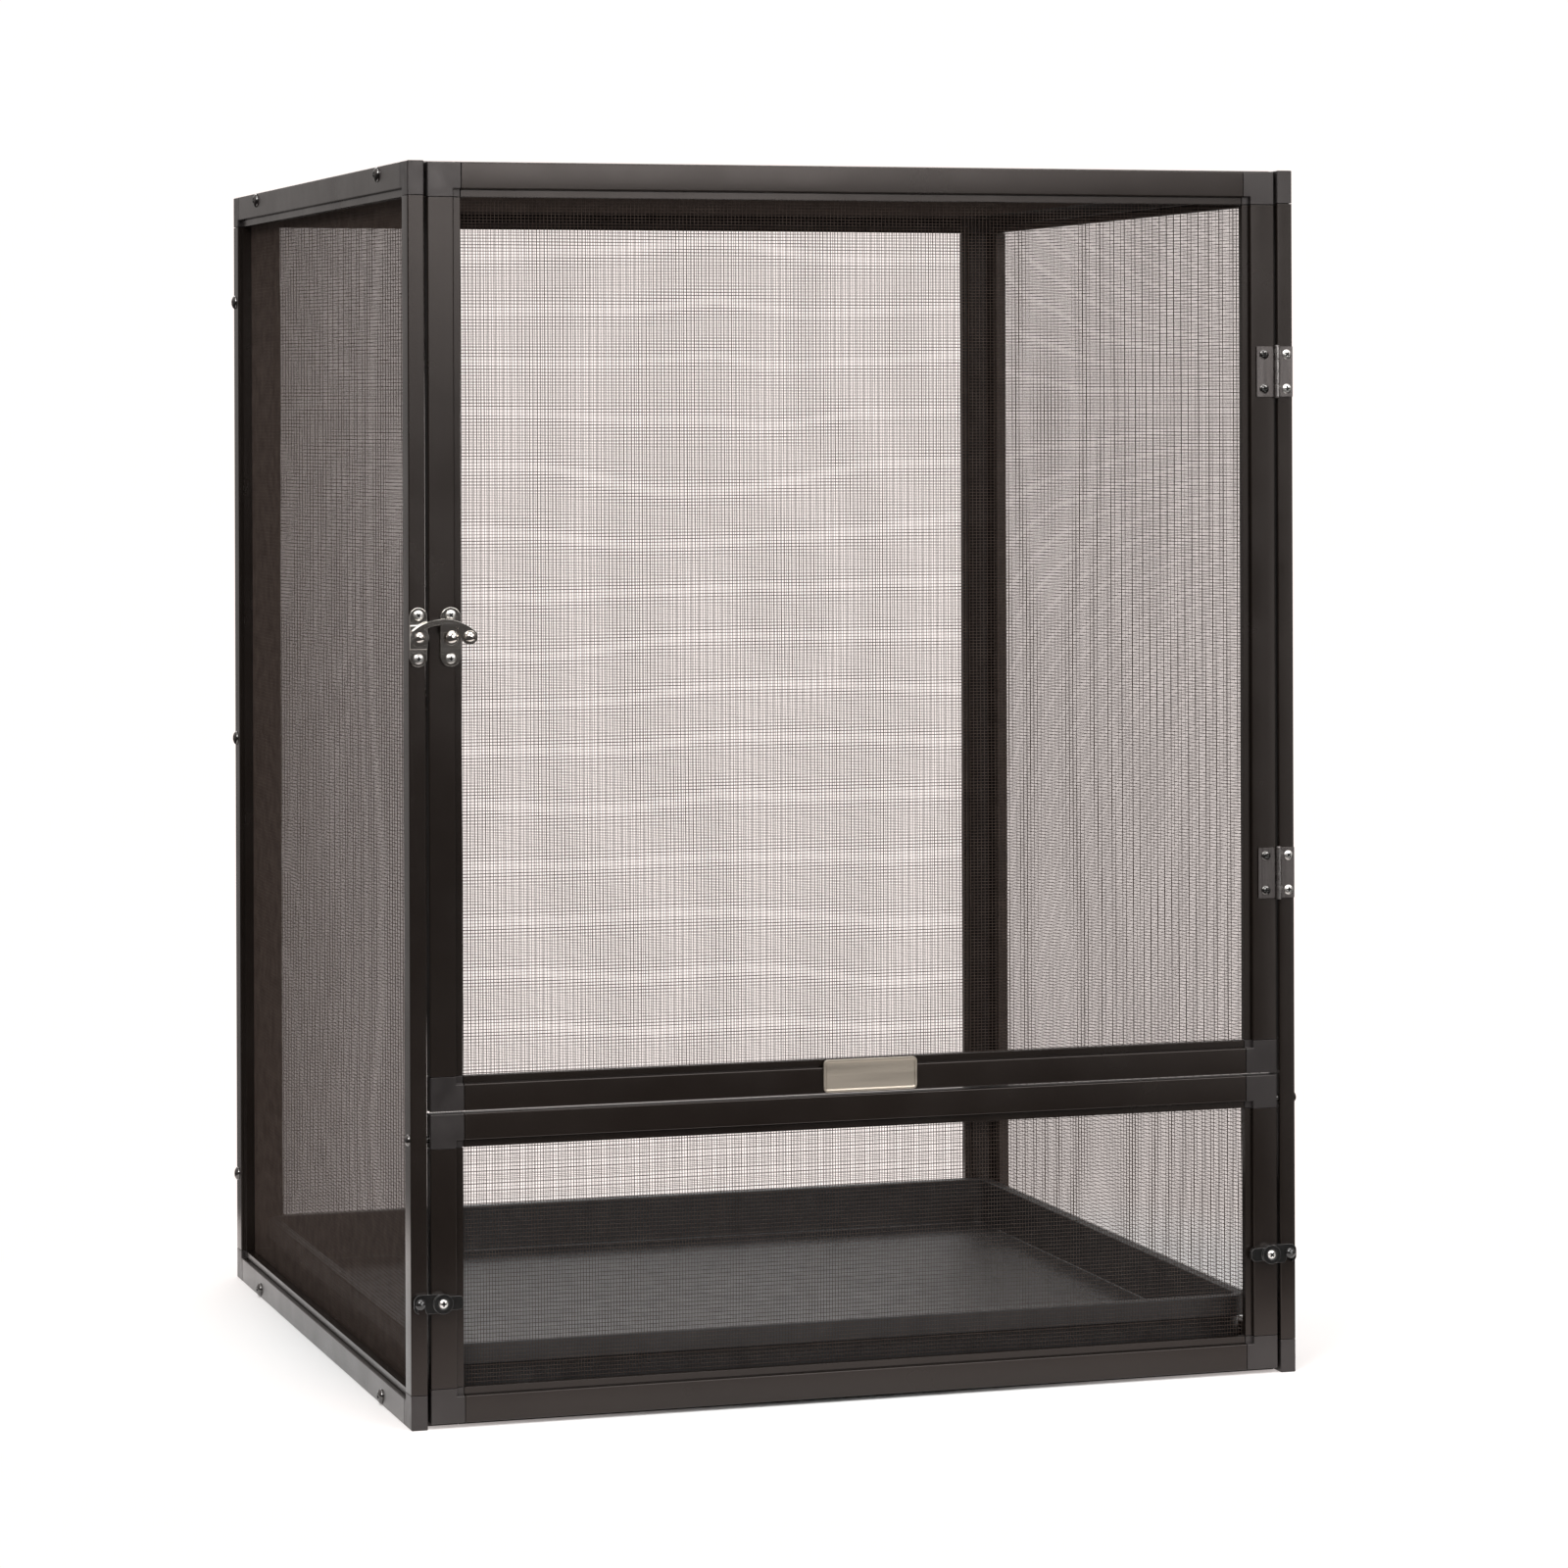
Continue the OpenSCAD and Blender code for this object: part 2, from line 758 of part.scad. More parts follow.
module at_both_pin_ends() {
    for (s = [0, 1]) mirror([0, 0, s]) translate([0, 0, hinge_h / 2 + knuckle_gap]) children();
}

module hinge_post_screws() {
    color(silver_colour) at_post_leaf_screws() small_screw(leaf_t);
}

module hinge_door_screws() {
    color(black_screw_colour) at_door_leaf_screws() small_screw(leaf_t);
}

module latch_base() {
    color(nickel_colour) difference() {
        on_front(latch_x, latch_z) {
            linear_extrude(base_t) stadium([base_w, base_h]);
            linear_extrude(bridge_t) square([base_w, bridge_h], center = true);
        }
        at_base_screws() translate([0, 0, base_t]) small_holes();
        on_front(latch_x, latch_z) rivet_hole(0);
    }
}

module latch_base_screws() {
    color(silver_colour) at_base_screws() small_screw(base_t);
}

// Hole through everything from a height up to the front of the arm
module rivet_hole(from) {
    translate([0, 0, from - overrun])
        cylinder(d = rivet_d + 2 * pivot_clear, h = arm_top - from + 2 * overrun);
}

module latch_pivot_rivet() {
    color(nickel_colour) on_front(latch_x, latch_z) translate([0, 0, stud_neck_top])
        domed_screw(rivet_head_d, rivet_head_h, rivet_d, stud_neck_top);
}

// Swing arm: an eye, a bow whose tongue rests on the stud's neck, and a wide round end for the knob
module latch_arm() {
    color(nickel_colour) on_front(latch_x, latch_z) translate([0, 0, arm_z]) difference() {
        union() {
            cylinder(r = eye_r, h = arm_t);
            translate([bow_x, bow_y, 0]) rotate([0, 0, knob_angle])
                rotate_extrude(angle = eye_angle - knob_angle)
                    translate([bow_r - bow_w, 0]) square([bow_w, arm_t]);
            translate([knob_reach, 0, 0]) cylinder(r = arm_end_r, h = arm_t);
            linear_extrude(arm_t) polygon(wedge);
            translate([stud_reach - tongue_reach, tongue_z, 0])
                cube([tongue_reach + stud_neck_d / 2, bow_y + bow_mid - tongue_z, arm_t]);
        }
        translate([0, 0, -arm_z]) rivet_hole(arm_z);
        translate([knob_reach, 0, -overrun])
            cylinder(d = knob_tail_d + 2 * screw_clear, h = arm_t + 2 * overrun);
    }
}

module latch_knob() {
    color(nickel_colour) on_front(latch_x + knob_reach, latch_z) translate([0, 0, arm_top]) {
        rotate_extrude() dome_outline(2 * knob_r, knob_r);
        translate([0, 0, -arm_t]) cylinder(d = knob_tail_d, h = arm_t);
    }
}

module latch_catch() {
    color(nickel_colour) difference() {
        on_front(latch_x + stud_reach, latch_z) linear_extrude(catch_t) stadium([catch_w, base_h]);
        at_catch_screws() translate([0, 0, catch_t]) small_holes();
        on_front(latch_x + stud_reach, latch_z) rivet_hole(0);
    }
}

module latch_catch_screws() {
    color(silver_colour) at_catch_screws() small_screw(catch_t);
}

module latch_stud() {
    color(nickel_colour) on_front(latch_x + stud_reach, latch_z) {
        cylinder(d = rivet_d, h = catch_t);
        translate([0, 0, catch_t]) cylinder(d = stud_flange_d, h = stud_flange_h);
        translate([0, 0, catch_t]) cylinder(d = stud_neck_d, h = stud_neck_top - catch_t);
        translate([0, 0, stud_neck_top]) rotate_extrude() dome_outline(stud_head_d, stud_head_h);
    }
}

// Clip with its pivot at the origin, the wing over the post along +X and the slot open downwards
module turn_clip() {
    difference() {
        union() {
            translate([0, 0, clip_gap]) linear_extrude(clip_t) {
                round_end([keeper_reach + wing_over, wing_h]);
                mirror([1, 0]) round_end([finger_reach, finger_h]);
            }
            translate([0, 0, clip_gap]) cylinder(d = boss_d, h = clip_t + boss_h);
        }
        translate([0, 0, clip_gap - overrun])
            cylinder(d = clip_screw_d + 2 * pivot_clear, h = clip_t + boss_h + 2 * overrun);
        translate([0, 0, boss_top - boss_seat])
            cylinder(d = clip_head_d + 2 * slot_clear, h = boss_seat + overrun);
        translate([0, 0, clip_gap - overrun]) rotate([0, 0, -slot_sweep])
            rotate_extrude(angle = slot_sweep + slot_end)
                translate([keeper_reach - slot_r, 0]) square([2 * slot_r, clip_t + 2 * overrun]);
    }
}

// Bar from the origin along +X with its far corners rounded
module round_end(size) {
    r = wing_round_share * size.y;
    translate([0, -size.y / 2]) square([size.x - r, size.y]);
    translate([0, r - size.y / 2]) square([size.x, size.y - 2 * r]);
    for (s = [-1, 1]) translate([size.x - r, s * (size.y / 2 - r)]) circle(r);
}

module at_clips() {
    for (s = [-1, 1]) on_front(s * clip_x, clip_z) children();
}

module at_keepers() {
    for (s = [-1, 1]) on_front(s * (clip_x + keeper_reach), clip_z) children();
}

module keeper_holes() {
    at_keepers() hole(keeper_neck_d + 2 * screw_clear, small_screw_l + overrun);
}

module right_clip() {
    color(plastic_colour) on_front(clip_x, clip_z) turn_clip();
}

module left_clip() {
    color(plastic_colour) on_front(-clip_x, clip_z) mirror([1, 0, 0]) turn_clip();
}

module clip_screws() {
    color(silver_colour) at_clips() translate([0, 0, boss_top - boss_seat])
        domed_screw(clip_head_d, clip_head_h, clip_screw_d, boss_top - boss_seat + small_screw_l);
}

module clip_keepers() {
    color(plastic_colour) at_keepers() translate([0, 0, clip_top + clip_gap])
        domed_screw(keeper_head_d, keeper_head_h, keeper_neck_d, clip_top + clip_gap + small_screw_l);
}

// Tray outline drawn in from the rim by a distance
module tray_outline(inset) {
    translate([inset, inset]) round_rect([tray_w - 2 * inset, tray_d - 2 * inset], tray_r - inset);
}

module tray() {
    color(plastic_colour) translate([-tray_w / 2, tray_front, tray_z]) difference() {
        union() {
            linear_extrude(tray_h) tray_outline(rim_w);
            translate([0, 0, tray_h - skirt_h]) linear_extrude(skirt_h) tray_outline(0);
        }
        translate([0, 0, tray_wall]) linear_extrude(tray_h) tray_outline(rim_w + tray_wall);
        translate([0, 0, tray_h - skirt_h - overrun]) linear_extrude(skirt_h + overrun - tray_wall)
            difference() {
                tray_outline(tray_wall);
                tray_outline(rim_w);
            }
    }
}

left_panel_rails();
left_panel_stiles();
left_panel_corners();
left_panel_screen();
left_panel_spline();
right_panel_rails();
right_panel_stiles();
right_panel_corners();
right_panel_screen();
right_panel_spline();
back_panel_rails();
back_panel_stiles();
back_panel_corners();
back_panel_screen();
back_panel_spline();
top_panel_rails();
top_panel_stiles();
top_panel_corners();
top_panel_screen();
top_panel_spline();
bottom_panel_rails();
bottom_panel_stiles();
bottom_panel_corners();
bottom_panel_screen();
bottom_panel_spline();
door_rails();
door_stiles();
door_corners();
door_screen();
door_spline();
flap_rails();
flap_stiles();
flap_corners();
flap_screen();
flap_spline();
assembly_screws();
flap_pivot_screws();
hinge_post_leaves();
hinge_door_leaves();
hinge_pins();
hinge_post_screws();
hinge_door_screws();
latch_base();
latch_base_screws();
latch_pivot_rivet();
latch_arm();
latch_knob();
latch_catch();
latch_catch_screws();
latch_stud();
left_clip();
right_clip();
clip_screws();
clip_keepers();
tray();
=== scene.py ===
import json
import math
import bmesh
import bpy
from mathutils import Matrix, Vector


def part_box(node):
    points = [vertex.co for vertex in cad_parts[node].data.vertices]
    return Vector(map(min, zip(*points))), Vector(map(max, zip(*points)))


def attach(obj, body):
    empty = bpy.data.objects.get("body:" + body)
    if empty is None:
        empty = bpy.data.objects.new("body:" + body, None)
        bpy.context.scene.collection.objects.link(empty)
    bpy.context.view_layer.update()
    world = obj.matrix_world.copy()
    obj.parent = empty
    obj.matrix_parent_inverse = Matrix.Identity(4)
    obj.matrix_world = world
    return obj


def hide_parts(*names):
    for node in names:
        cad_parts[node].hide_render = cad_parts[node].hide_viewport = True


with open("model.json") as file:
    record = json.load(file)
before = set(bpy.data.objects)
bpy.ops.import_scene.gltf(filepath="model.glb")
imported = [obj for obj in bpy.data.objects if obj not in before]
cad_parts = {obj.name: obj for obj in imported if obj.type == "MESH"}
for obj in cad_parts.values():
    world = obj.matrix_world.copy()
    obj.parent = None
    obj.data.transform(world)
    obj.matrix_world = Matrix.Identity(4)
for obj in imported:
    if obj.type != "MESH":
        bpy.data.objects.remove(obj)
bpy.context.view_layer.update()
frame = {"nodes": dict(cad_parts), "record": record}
cadNodes = frame["nodes"]
scene = bpy.context.scene
scene.view_settings.view_transform = "Standard"
mm = 0.001
panels = ["left_panel", "right_panel", "back_panel", "top_panel", "bottom_panel", "door", "flap"]
print("frame loaded:", len(cadNodes), "nodes")


# camera at the photo's angle: level, with the horizon high in the frame
cameraSettings = {
    "place": (-0.7369, -2.5647, 0.4823),
    "turn": -0.31745,
    "roll": -0.0035,
    "lens": 115.94,
    "sensor": 36,
    "far": 50,
    "shift": (-0.09, -0.2401),
}


def makeCamera(s):
    data = bpy.data.cameras.new("photoCamera")
    data.sensor_width = s["sensor"]
    data.lens = s["lens"]
    data.shift_x, data.shift_y = s["shift"]
    data.clip_end = s["far"]
    camera = bpy.data.objects.new("photoCamera", data)
    scene.collection.objects.link(camera)
    level = Matrix.Rotation(s["turn"], 4, "Z") @ Matrix.Rotation(math.pi / 2, 4, "X")
    camera.matrix_world = Matrix.Translation(s["place"]) @ level @ Matrix.Rotation(s["roll"], 4, "Z")
    scene.camera = camera


makeCamera(cameraSettings)
print("camera set")


# shader helpers
def addNode(tree, kind, spot, **values):
    node = tree.nodes.new(kind)
    node.location = spot
    for name, value in values.items():
        node.inputs[name].default_value = value
    return node


def newFinish(name):
    finish = bpy.data.materials.new(name)
    finish.use_nodes = True
    tree = finish.node_tree
    return finish, tree, tree.nodes["Principled BSDF"]


def noiseOn(tree, coords, spot, scale, detail, stretch, rough=0.5):
    source = coords.outputs["Object"]
    if stretch:
        mapping = addNode(tree, "ShaderNodeMapping", (spot[0] - 200, spot[1]), Scale=stretch)
        tree.links.new(source, mapping.inputs["Vector"])
        source = mapping.outputs["Vector"]
    noise = addNode(tree, "ShaderNodeTexNoise", spot, Scale=scale, Detail=detail, Roughness=rough)
    tree.links.new(source, noise.inputs["Vector"])
    return noise.outputs["Fac"]


def rampBetween(tree, source, spot, low, high, dark, pale):
    ramp = tree.nodes.new("ShaderNodeValToRGB")
    ramp.location = spot
    first, last = ramp.color_ramp.elements
    first.position, last.position = low, high
    first.color, last.color = (*dark, 1), (*pale, 1)
    tree.links.new(source, ramp.inputs["Fac"])
    return ramp.outputs["Color"]


def rangeOf(tree, source, spot, low, high, fromLow, fromHigh):
    node = addNode(tree, "ShaderNodeMapRange", spot)
    for name, value in {"From Min": fromLow, "From Max": fromHigh, "To Min": low, "To Max": high}.items():
        node.inputs[name].default_value = value
    tree.links.new(source, node.inputs["Value"])
    return node.outputs["Result"]


def bumpFrom(tree, source, spot, strength, distance):
    bump = addNode(tree, "ShaderNodeBump", spot, Strength=strength, Distance=distance)
    tree.links.new(source, bump.inputs["Height"])
    return bump.outputs["Normal"]


def mixColours(tree, spot, first, second, share):
    mix = tree.nodes.new("ShaderNodeMix")
    mix.data_type = "RGBA"
    mix.location = spot
    if hasattr(first, "is_output"):
        tree.links.new(first, mix.inputs["A"])
    else:
        mix.inputs["A"].default_value = (*first, 1)
    mix.inputs["B"].default_value = (*second, 1)
    tree.links.new(share, mix.inputs["Factor"])
    return mix.outputs["Result"]


# one recipe serves every finish: slow colour drift, fine scuffs, a grain and its roughness
plainRecipe = {
    "metallic": 0.0, "specular": 0.5, "coat": 0.0, "tint": (1, 1, 1), "grainStep": 0.0001, "stretch": None,
}
noiseShape = {
    "low": 0.3, "high": 0.7, "driftDetail": 3.0, "scuffDetail": 6.0, "scuffRough": 0.7, "scuffSpan": 0.12,
    "sheenScale": 3.7, "sheenDetail": 4.0, "grainDetail": 1.0,
}
finishes = {
    "powderCoat": {
        "slot": "frame_black", "specular": 0.46, "tint": (1, 0.9, 0.86),
        "dark": (0.0066, 0.0046, 0.0036), "pale": (0.0098, 0.0072, 0.0058), "drift": 9.0,
        "scuff": (0.05, 0.046, 0.042), "scuffScale": 260.0, "scuffFrom": 0.72,
        "rough": (0.2, 0.28), "grain": 1500.0, "grainDepth": 0.1,
    },
    "keyPlastic": {
        "slot": "corner_black", "specular": 0.57, "tint": (1, 0.92, 0.89),
        "dark": (0.0125, 0.0108, 0.0108), "pale": (0.0195, 0.0172, 0.0172), "drift": 40.0,
        "scuff": (0.06, 0.054, 0.052), "scuffScale": 320.0, "scuffFrom": 0.74,
        "rough": (0.3, 0.4), "grain": 2600.0, "grainDepth": 0.18,
    },
    "wireCoat": {
        "slot": "screen_wire", "specular": 0.2, "tint": (1, 0.86, 0.81),
        "dark": (0.03, 0.0205, 0.0165), "pale": (0.05, 0.036, 0.0295), "drift": 120.0,
        "scuff": (0.06, 0.055, 0.05), "scuffScale": 500.0, "scuffFrom": 0.75,
        "rough": (0.6, 0.75), "grain": 4000.0, "grainDepth": 0.1, "grainStep": 0.00005,
    },
    "splineRubber": {
        "slot": "spline_rubber", "specular": 0.3,
        "dark": (0.008, 0.008, 0.008), "pale": (0.014, 0.0138, 0.0135), "drift": 80.0,
        "scuff": (0.03, 0.03, 0.029), "scuffScale": 700.0, "scuffFrom": 0.7,
        "rough": (0.62, 0.78), "grain": 1800.0, "grainDepth": 0.4, "grainStep": 0.0002,
    },
    "blackSteel": {
        "slot": "screw_black", "metallic": 1.0, "coat": 0.5,
        "dark": (0.1, 0.096, 0.093), "pale": (0.15, 0.145, 0.14), "drift": 300.0,
        "scuff": (0.22, 0.215, 0.21), "scuffScale": 900.0, "scuffFrom": 0.72,
        "rough": (0.12, 0.22), "grain": 3000.0, "grainDepth": 0.08, "grainStep": 0.00008,
    },
    "zincSteel": {
        "slot": "screw_silver", "metallic": 1.0,
        "dark": (0.7, 0.68, 0.65), "pale": (0.88, 0.865, 0.835), "drift": 240.0,
        "scuff": (0.5, 0.485, 0.46), "scuffScale": 800.0, "scuffFrom": 0.72,
        "rough": (0.26, 0.4), "grain": 2600.0, "grainDepth": 0.1, "grainStep": 0.00008,
    },
    "blackNickel": {
        "slot": "hinge_bronze", "metallic": 1.0,
        "dark": (0.155, 0.138, 0.133), "pale": (0.205, 0.186, 0.18), "drift": 110.0,
        "scuff": (0.32, 0.295, 0.288), "scuffScale": 600.0, "scuffFrom": 0.73,
        "rough": (0.18, 0.27), "grain": 1400.0, "grainDepth": 0.1,
        "stretch": (1.0, 1.0, 0.06),
    },
    # paler nickel for the hinge knuckles: a painted highlight
    "rubbedNickel": {
        "slot": "hinge_barrel_highlight", "metallic": 1.0,
        "dark": (0.3, 0.28, 0.273), "pale": (0.4, 0.376, 0.368), "drift": 160.0,
        "scuff": (0.55, 0.52, 0.51), "scuffScale": 600.0, "scuffFrom": 0.73,
        "rough": (0.25, 0.33), "grain": 1400.0, "grainDepth": 0.1,
    },
    "brightNickel": {
        "slot": "latch_nickel", "metallic": 1.0,
        "dark": (0.68, 0.645, 0.605), "pale": (0.85, 0.815, 0.77), "drift": 90.0,
        "scuff": (0.5, 0.475, 0.445), "scuffScale": 700.0, "scuffFrom": 0.72,
        "rough": (0.07, 0.14), "grain": 1600.0, "grainDepth": 0.05,
        "stretch": (0.08, 1.0, 1.0),
    },
    "satinNickel": {
        "slot": "bare_plate", "metallic": 1.0,
        "dark": (0.41, 0.36, 0.3), "pale": (0.53, 0.47, 0.395), "drift": 60.0,
        "scuff": (0.3, 0.265, 0.225), "scuffScale": 500.0, "scuffFrom": 0.7,
        "rough": (0.34, 0.46), "grain": 1300.0, "grainDepth": 0.14,
        "stretch": (0.04, 1.0, 1.0),
    },
    "clipPlastic": {
        "slot": "clip_black", "specular": 0.6, "coat": 0.4,
        "dark": (0.0065, 0.0063, 0.0062), "pale": (0.0105, 0.0102, 0.01), "drift": 160.0,
        "scuff": (0.05, 0.048, 0.046), "scuffScale": 600.0, "scuffFrom": 0.75,
        "rough": (0.08, 0.15), "grain": 2200.0, "grainDepth": 0.12,
    },
    # paler plastic on the clips' eased edges: a painted highlight
    "clipEdge": {
        "slot": "clip_edge", "specular": 0.9, "coat": 0.6,
        "dark": (0.085, 0.08, 0.078), "pale": (0.13, 0.123, 0.119), "drift": 160.0,
        "scuff": (0.17, 0.162, 0.156), "scuffScale": 600.0, "scuffFrom": 0.72,
        "rough": (0.24, 0.34), "grain": 2200.0, "grainDepth": 0.1,
    },
    # near-black for the screw drives' recess faces: a painted shade
    "recessGrime": {
        "slot": "screw_recess_shade", "metallic": 0.3, "specular": 0.3,
        "dark": (0.012, 0.0115, 0.011), "pale": (0.024, 0.023, 0.022), "drift": 500.0,
        "scuff": (0.06, 0.058, 0.055), "scuffScale": 1200.0, "scuffFrom": 0.74,
        "rough": (0.5, 0.68), "grain": 3000.0, "grainDepth": 0.2,
    },
    "trayPlastic": {
        "slot": "tray_black",
        "dark": (0.011, 0.0112, 0.012), "pale": (0.019, 0.0193, 0.0205), "drift": 22.0,
        "scuff": (0.05, 0.05, 0.052), "scuffScale": 180.0, "scuffFrom": 0.72,
        "rough": (0.38, 0.52), "grain": 900.0, "grainDepth": 0.35, "grainStep": 0.00025,
    },
}


def makeFinish(name, s, n):
    finish, tree, shader = newFinish(name)
    coords = addNode(tree, "ShaderNodeTexCoord", (-1300, 0))
    drift = noiseOn(tree, coords, (-900, 300), s["drift"], n["driftDetail"], s["stretch"])
    base = rampBetween(tree, drift, (-680, 300), n["low"], n["high"], s["dark"], s["pale"])
    scuffs = noiseOn(
        tree, coords, (-900, 40), s["scuffScale"], n["scuffDetail"], s["stretch"], n["scuffRough"])
    worn = rangeOf(tree, scuffs, (-680, 40), 0.0, 1.0, s["scuffFrom"], s["scuffFrom"] + n["scuffSpan"])
    tree.links.new(mixColours(tree, (-380, 260), base, s["scuff"], worn), shader.inputs["Base Color"])
    sheen = noiseOn(
        tree, coords, (-900, -220), s["drift"] * n["sheenScale"], n["sheenDetail"], s["stretch"])
    rough = rangeOf(tree, sheen, (-380, -120), *s["rough"], n["low"], n["high"])
    tree.links.new(rough, shader.inputs["Roughness"])
    grain = noiseOn(tree, coords, (-900, -460), s["grain"], n["grainDetail"], s["stretch"])
    normal = bumpFrom(tree, grain, (-380, -420), s["grainDepth"], s["grainStep"])
    tree.links.new(normal, shader.inputs["Normal"])
    shader.inputs["Metallic"].default_value = s["metallic"]
    shader.inputs["Specular IOR Level"].default_value = s["specular"]
    shader.inputs["Specular Tint"].default_value = (*s["tint"], 1)
    shader.inputs["Coat Weight"].default_value = s["coat"]
    return finish


finishOf = {}
for finishName, recipe in finishes.items():
    finishOf[recipe["slot"]] = makeFinish(finishName, {**plainRecipe, **recipe}, noiseShape)
slotOf = {row["node"]: row["material_slot"] for row in frame["record"]["subparts"]}
for nodeName, cadNode in cadNodes.items():
    cadNode.data.materials.clear()
    cadNode.data.materials.append(finishOf[slotOf[nodeName]])
print("finishes on every node:", len(finishes))


# piece helpers
bodyOf = {name: body for body, names in frame["record"]["behaviour"]["bodies"].items() for name in names}
weldReach = 0.002 * mm


def addPiece(name, mesh, finish=None):
    piece = bpy.data.objects.new(name, mesh)
    scene.collection.objects.link(piece)
    if finish:
        mesh.materials.clear()
        mesh.materials.append(finish)
    return piece


def toObject(work, name):
    mesh = bpy.data.meshes.new(name)
    work.to_mesh(mesh)
    work.free()
    obj = bpy.data.objects.new(name, mesh)
    scene.collection.objects.link(obj)
    return obj


def settle(piece, node):
    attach(piece, bodyOf[node])
    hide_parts(node)


def shadeByAngle(mesh, degrees):
    work = bmesh.new()
    work.from_mesh(mesh)
    limit = math.radians(degrees)
    for face in work.faces:
        face.smooth = True
    for edge in work.edges:
        edge.smooth = len(edge.link_faces) == 2 and edge.calc_face_angle(0) < limit
    work.to_mesh(mesh)
    work.free()


def bakedMesh(obj, name):
    depsgraph = bpy.context.evaluated_depsgraph_get()
    mesh = bpy.data.meshes.new_from_object(obj.evaluated_get(depsgraph))
    mesh.name = name
    return mesh


def easeEdges(piece, width, segments, degrees, edgeHighlight=None):
    bevel = piece.modifiers.new("ease", "BEVEL")
    # a second finish on the bevel faces paints them paler, a painted highlight
    if edgeHighlight:
        piece.data.materials.append(edgeHighlight)
        bevel.material = 1
    bevel.width, bevel.segments = width, segments
    bevel.limit_method, bevel.angle_limit = "ANGLE", math.radians(degrees)
    bevel.harden_normals = True
    sharp = piece.data
    eased = bakedMesh(piece, sharp.name)
    piece.modifiers.clear()
    piece.data = eased
    bpy.data.meshes.remove(sharp)


def mergedCopy(node):
    mesh = cadNodes[node].data.copy()
    work = bmesh.new()
    work.from_mesh(mesh)
    bmesh.ops.remove_doubles(work, verts=work.verts, dist=weldReach)
    work.to_mesh(mesh)
    work.free()
    return mesh


def islandBoxes(node):
    mesh = mergedCopy(node)
    work = bmesh.new()
    work.from_mesh(mesh)
    left, boxes = set(work.verts), []
    while left:
        reach, group = [left.pop()], []
        while reach:
            vert = reach.pop()
            group.append(vert.co)
            for edge in vert.link_edges:
                other = edge.other_vert(vert)
                if other in left:
                    left.discard(other)
                    reach.append(other)
        low = Vector([min(c[i] for c in group) for i in range(3)])
        high = Vector([max(c[i] for c in group) for i in range(3)])
        boxes.append((low, high))
    work.free()
    bpy.data.meshes.remove(mesh)
    return sorted(boxes, key=lambda b: tuple(round(c, 5) for c in b[0]))


# geometry node helpers
def newTree(name, floats, others):
    tree = bpy.data.node_groups.new(name, "GeometryNodeTree")
    tree.interface.new_socket("Geometry", in_out="INPUT", socket_type="NodeSocketGeometry")
    tree.interface.new_socket("Geometry", in_out="OUTPUT", socket_type="NodeSocketGeometry")
    for label in floats:
        tree.interface.new_socket(label, in_out="INPUT", socket_type="NodeSocketFloat")
    for label, kind in others.items():
        tree.interface.new_socket(label, in_out="INPUT", socket_type=kind)
    return tree, tree.nodes.new("NodeGroupInput"), tree.nodes.new("NodeGroupOutput")


def geoNode(tree, kind, *sources, **values):
    node = tree.nodes.new(kind)
    for name, value in values.items():
        if hasattr(value, "is_output"):
            tree.links.new(value, node.inputs[name])
        else:
            node.inputs[name].default_value = value
    for index, source in enumerate(sources):
        tree.links.new(source, node.inputs[index])
    return node


def mathOf(tree, operation, *values):
    node = tree.nodes.new("ShaderNodeMath")
    node.operation = operation
    for index, value in enumerate(values):
        if hasattr(value, "is_output"):
            tree.links.new(value, node.inputs[index])
        else:
            node.inputs[index].default_value = value
    return node.outputs[0]


def vectorOf(tree, x=0.0, y=0.0, z=0.0):
    return geoNode(tree, "ShaderNodeCombineXYZ", X=x, Y=y, Z=z).outputs[0]


def finishTree(tree, geometry, material, groupOutput):
    real = geoNode(tree, "GeometryNodeRealizeInstances", geometry)
    painted = geoNode(tree, "GeometryNodeSetMaterial", real.outputs[0])
    tree.links.new(material, painted.inputs["Material"])
    tree.links.new(painted.outputs[0], groupOutput.inputs[0])
    return painted.outputs[0]


def runTree(tree, name, mesh, inputs):
    holder = bpy.data.objects.new(name + "Holder", mesh)
    scene.collection.objects.link(holder)
    modifier = holder.modifiers.new("build", "NODES")
    modifier.node_group = tree
    for socket in tree.interface.items_tree:
        if socket.in_out == "INPUT" and socket.name in inputs:
            modifier[socket.identifier] = inputs[socket.name]
    made = bakedMesh(holder, name)
    holder.modifiers.clear()
    bpy.data.objects.remove(holder)
    return made


# fine wire cloth in place of the coarse strands, two layers of wires as deep as their crimp
clothSettings = {
    "wire": 0.25 * mm,
    "crimp": 1.03,
    "closePitch": 1.48 * mm,
    "widePitch": 1.855 * mm,
    "turned": ["left_panel", "right_panel", "back_panel", "flap"],  # wide pitch runs upwards here
    "sides": 6,
    "segments": 8,
    "sway": 1.6 * mm,  # how far the wires stray from straight
    "swayScale": 9.0,
    "swayDetail": 1.0,
    "seedStep": 7.3,
    "sharp": 70,
}


